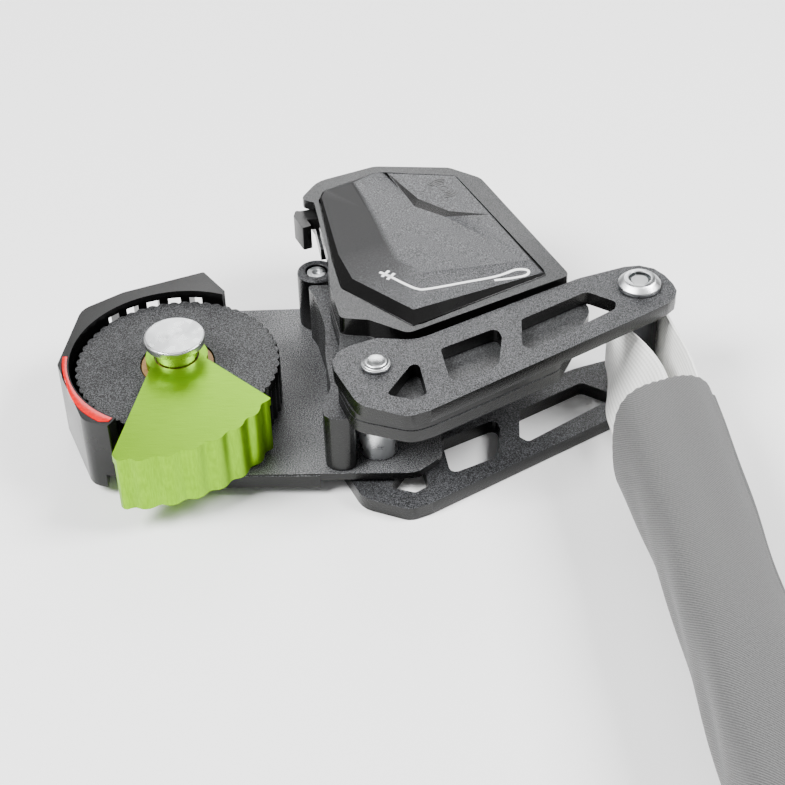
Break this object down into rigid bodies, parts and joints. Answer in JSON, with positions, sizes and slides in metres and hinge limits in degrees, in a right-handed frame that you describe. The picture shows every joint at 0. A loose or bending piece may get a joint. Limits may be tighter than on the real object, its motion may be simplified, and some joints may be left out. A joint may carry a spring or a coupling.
{
  "type": "rope grab fall arrester",
  "caption": "Guided rope grab with a toothed rope wheel, green brake cam, swing-out lid, load fork and a sleeved absorber lanyard, shown open.",
  "frame": {"origin": "wheel axle, at the flat underside of the base plate", "axes": "+Z along the wheel axle towards its mushroom head; the rope runs along Y; +X points from the wheel to the rope and the fork"},
  "size_m": [0.1911, 0.312, 0.0399],
  "materials": {
    "black_aluminium": "bead blasted, black anodised",
    "black_plastic": "glass-filled moulding, fine texture",
    "cover_plastic": "spark-textured moulding",
    "green_aluminium": "milled, lime green anodised",
    "red_plastic": "smooth moulding",
    "turned_steel": "turned",
    "spring_wire": "drawn",
    "bronze": "sintered",
    "webbing": "woven webbing",
    "sleeve_fabric": "fine twill",
    "tag": "film"
  },
  "bodies": {
    "frame": {"base_plate": "black_aluminium", "wheel_guard": "black_plastic", "red_warning_insert": "red_plastic", "axle_stud": "turned_steel", "axle_cap": "turned_steel", "anvil": "black_aluminium", "anvil_screw_1": "turned_steel", "anvil_screw_2": "turned_steel", "guide_post": "black_aluminium", "guide_post_screw": "turned_steel", "guard_screw_1": "turned_steel", "guard_screw_2": "turned_steel", "pivot_rivet": "turned_steel", "pivot_spacer": "turned_steel", "pivot_washer": "turned_steel", "cam_return_spring": "spring_wire"},
    "wheel": {"rope_wheel": "black_aluminium", "wheel_bush": "bronze", "flyweight_pin_1": "turned_steel", "flyweight_pin_2": "turned_steel", "flyweight_spring_1": "spring_wire", "flyweight_spring_2": "spring_wire"},
    "weight_1": {"flyweight_1": "turned_steel"},
    "weight_2": {"flyweight_2": "turned_steel"},
    "cam": {"brake_cam": "green_aluminium", "cam_bush": "bronze", "clutch_ratchet": "turned_steel"},
    "lid": {"swing_plate": "black_aluminium", "cover_shell": "black_plastic", "cover_plate": "cover_plastic", "rfid_tag": "tag", "cover_screw_1": "turned_steel", "cover_screw_2": "turned_steel", "cover_screw_3": "turned_steel", "latch_pin": "turned_steel"},
    "latch": {"latch": "black_plastic"},
    "fork": {"upper_arm": "black_aluminium", "lower_arm": "black_aluminium", "attachment_bolt": "turned_steel", "bolt_lock_pin": "turned_steel", "attachment_nut": "turned_steel", "bolt_spacer": "black_aluminium"},
    "lanyard": {"webbing_loop": "webbing", "absorber_sleeve": "sleeve_fabric", "tear_webbing_pack": "webbing", "end_loop": "webbing"}
  },
  "joints": [
    {"name": "wheel_spin", "type": "hinge", "parent": "frame", "child": "wheel", "pos_m": [0, 0, 0.013], "axis": [0, 0, 1], "continuous": true},
    {"name": "weight_1_swing", "type": "hinge", "parent": "wheel", "child": "weight_1", "pos_m": [0.0186, 0, 0.0096], "axis": [0, 0, -1], "range_deg": [0, 6], "stiffness_Nm_per_rad": 0.002},
    {"name": "weight_2_swing", "type": "hinge", "parent": "wheel", "child": "weight_2", "pos_m": [-0.0186, 0, 0.0096], "axis": [0, 0, -1], "range_deg": [0, 6], "stiffness_Nm_per_rad": 0.002},
    {"name": "cam_swing", "type": "hinge", "parent": "frame", "child": "cam", "pos_m": [0, 0, 0.014], "axis": [0, 0, 1], "range_deg": [0, 60], "stiffness_Nm_per_rad": 0.01},
    {"name": "lid_swing", "type": "hinge", "parent": "frame", "child": "lid", "pos_m": [0.0545, -0.0206, 0.025], "axis": [0, 0, 1], "range_deg": [0, 82]},
    {"name": "latch_press", "type": "hinge", "parent": "lid", "child": "latch", "pos_m": [0.05023, 0.05121, 0.029], "axis": [0, 0, 1], "range_deg": [-9, 0], "stiffness_Nm_per_rad": 0.02},
    {"name": "fork_swing", "type": "hinge", "parent": "frame", "child": "fork", "pos_m": [0.0545, -0.0206, 0.015], "axis": [0, 0, 1], "range_deg": [-55, 0]},
    {"name": "lanyard_swing", "type": "hinge", "parent": "fork", "child": "lanyard", "pos_m": [0.127, 0.01077, 0.01515], "axis": [0, 0, 1], "range_deg": [-20, 100]}
  ]
}
